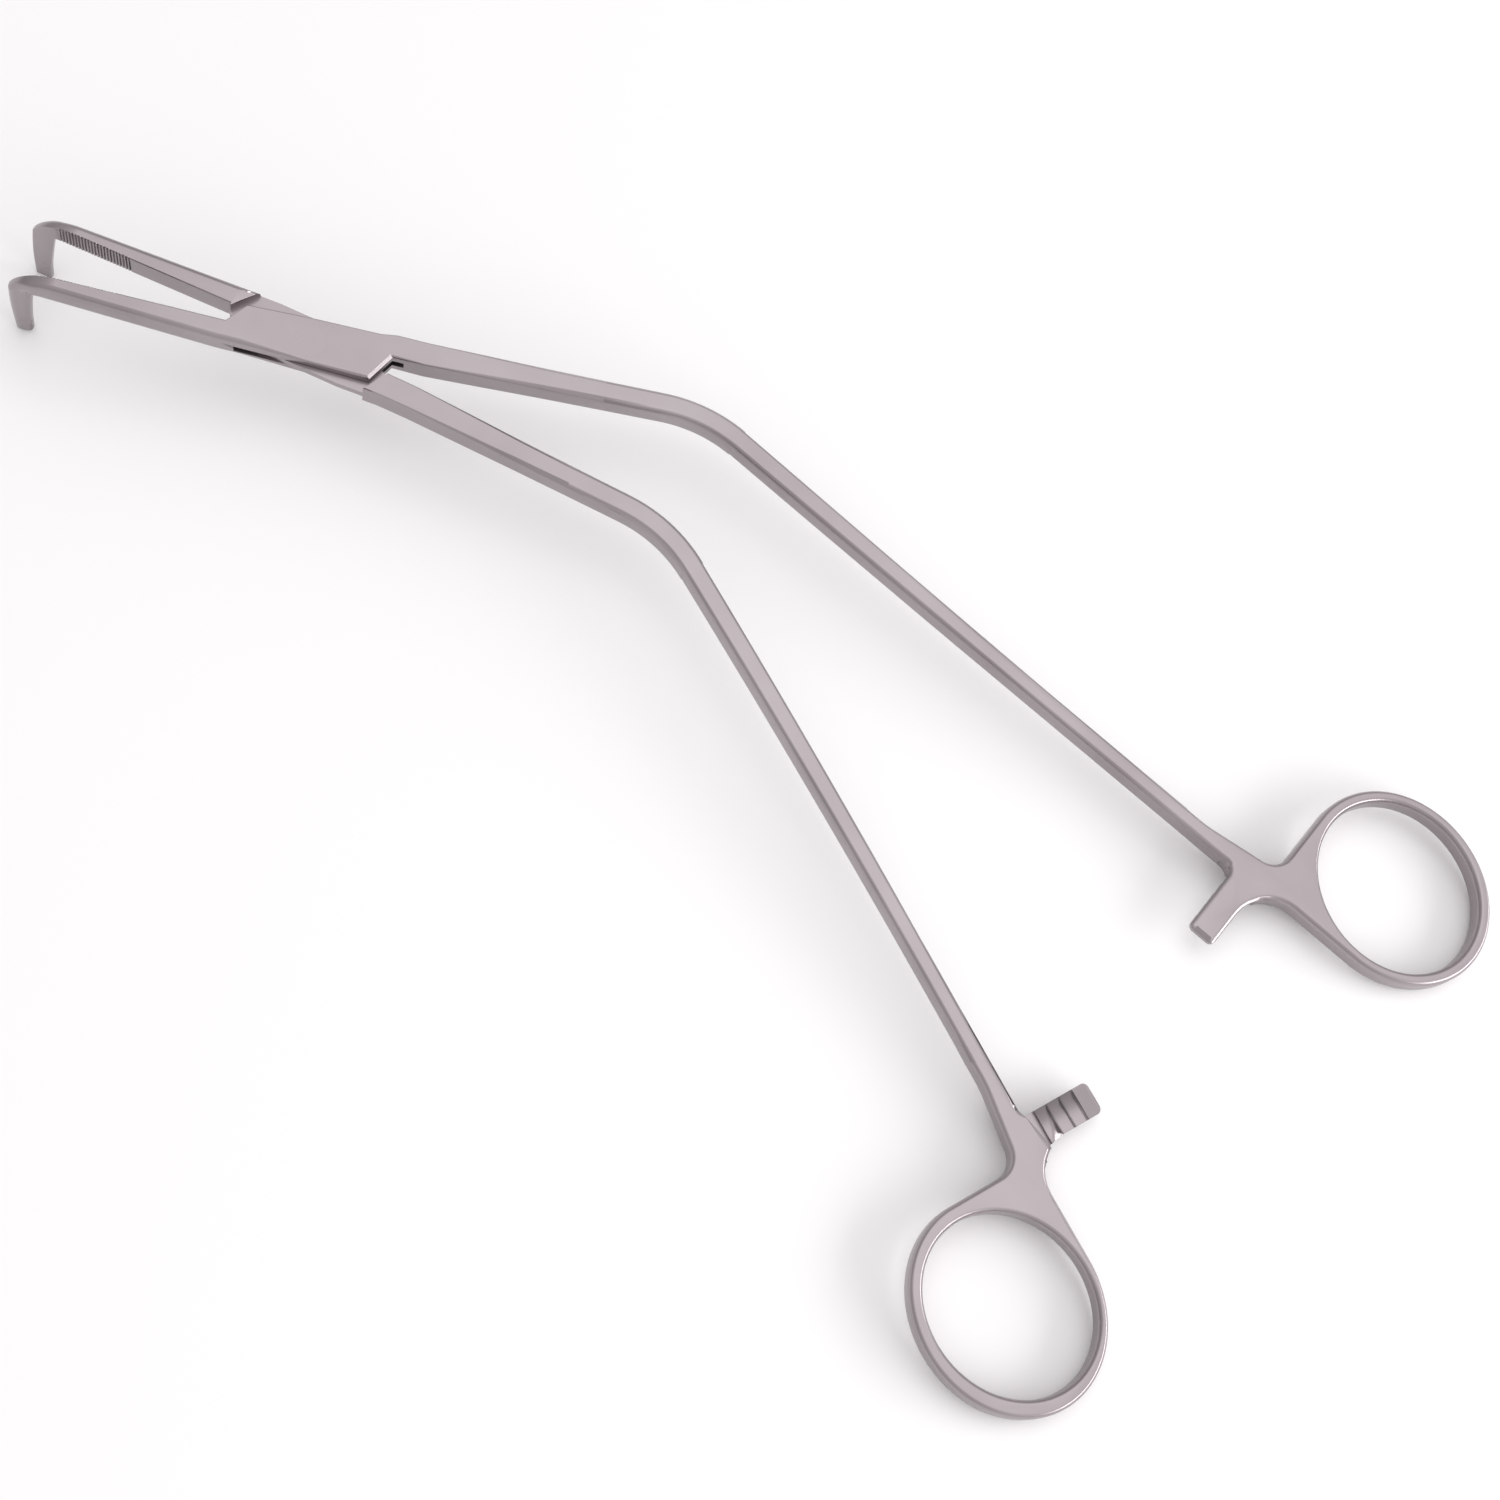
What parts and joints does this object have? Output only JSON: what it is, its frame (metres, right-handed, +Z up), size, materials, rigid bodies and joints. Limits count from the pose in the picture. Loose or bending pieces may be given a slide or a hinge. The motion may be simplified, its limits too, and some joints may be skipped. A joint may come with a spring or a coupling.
{
  "type": "prostatectomy clamp",
  "caption": "Box-lock surgical clamp with straight serrated jaws, tips bent at right angles, angled shanks, ratchet bars and finger rings, for gripping tissue.",
  "frame": {"origin": "centre of the bounding box's underside, on the floor that the clamp lies on", "axes": "+X from the jaws to the handles along the closed jaws, +Y to the side that the handles bend away from, +Z up off the floor"},
  "size_m": [0.2492, 0.1344, 0.0189],
  "materials": {
    "satin_steel": "satin",
    "ground_steel": "ground flush and satin"
  },
  "bodies": {
    "box": {"box_half": "satin_steel", "lock_pin": "ground_steel"},
    "tongue": {"tongue_half": "satin_steel"}
  },
  "joints": [
    {"name": "box_lock", "type": "hinge", "parent": "box", "child": "tongue", "pos_m": [-0.07672, 0.05513, 0.01444], "axis": [0.0561, -0.0302, 0.998], "range_deg": [-33.7, 11.3]}
  ]
}
